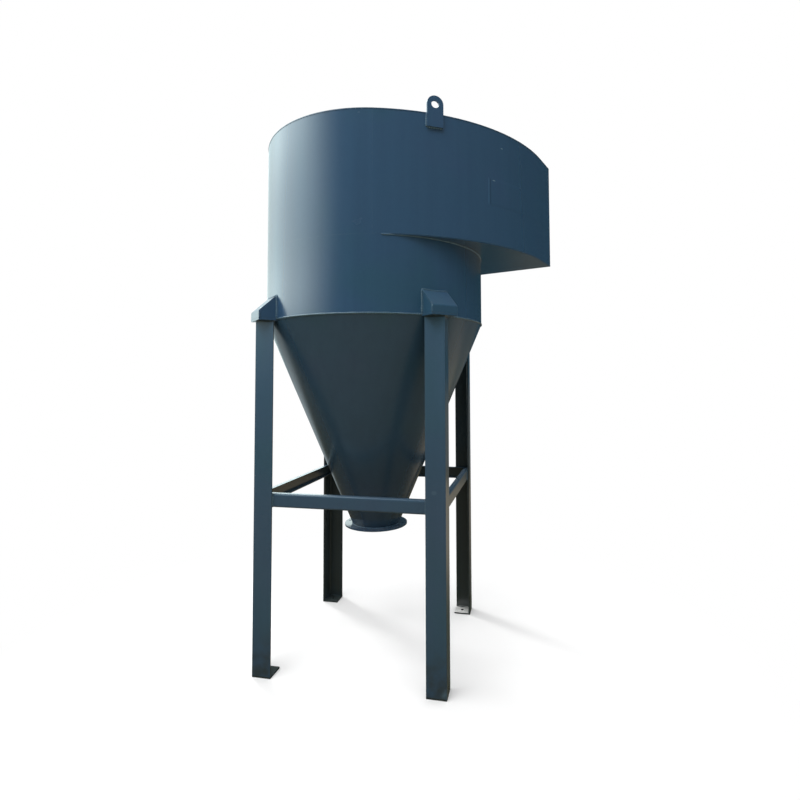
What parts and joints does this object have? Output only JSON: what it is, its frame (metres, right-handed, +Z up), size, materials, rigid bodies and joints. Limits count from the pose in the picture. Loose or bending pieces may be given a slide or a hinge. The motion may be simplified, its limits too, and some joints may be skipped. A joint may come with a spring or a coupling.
{
  "type": "cyclone dust separator",
  "caption": "Steel cyclone separator: a cylinder with a volute gas inlet on a dust cone with a flanged outlet, standing on a braced frame of angle legs.",
  "frame": {"origin": "on the floor, in the middle of the leg square, on the barrel's axis", "axes": "+Z up along the barrel's axis, -Y to the front of the leg square, the inlet's mouth faces 71 degrees from +X towards +Y"},
  "size_m": [1.6531, 1.25, 2.92],
  "materials": {
    "shell_paint": "satin slate blue paint",
    "bracket_paint": "satin slate blue paint",
    "leg_paint": "satin slate blue paint, scuffed at the feet"
  },
  "bodies": {
    "root": {"lower_barrel": "shell_paint", "upper_barrel": "shell_paint", "cone": "shell_paint", "inlet_floor": "shell_paint", "scroll_wall": "shell_paint", "inlet_inner_wall": "shell_paint", "roof_plate": "shell_paint", "outlet_pipe": "shell_paint", "outlet_flange": "shell_paint", "dust_flange": "shell_paint", "front_lug": "shell_paint", "rear_lug": "shell_paint", "front_left_bracket_base": "bracket_paint", "front_left_bracket_cover": "bracket_paint", "front_left_bracket_gusset_a": "bracket_paint", "front_left_bracket_gusset_b": "bracket_paint", "front_right_bracket_base": "bracket_paint", "front_right_bracket_cover": "bracket_paint", "front_right_bracket_gusset_a": "bracket_paint", "front_right_bracket_gusset_b": "bracket_paint", "back_right_bracket_base": "bracket_paint", "back_right_bracket_cover": "bracket_paint", "back_right_bracket_gusset_a": "bracket_paint", "back_right_bracket_gusset_b": "bracket_paint", "back_left_bracket_base": "bracket_paint", "back_left_bracket_cover": "bracket_paint", "back_left_bracket_gusset_a": "bracket_paint", "back_left_bracket_gusset_b": "bracket_paint", "front_left_leg": "leg_paint", "front_right_leg": "leg_paint", "back_right_leg": "leg_paint", "back_left_leg": "leg_paint", "front_left_foot_plate": "leg_paint", "front_right_foot_plate": "leg_paint", "back_right_foot_plate": "leg_paint", "back_left_foot_plate": "leg_paint", "front_brace": "leg_paint", "right_brace": "leg_paint", "back_brace": "leg_paint", "left_brace": "leg_paint"}
  },
  "joints": []
}
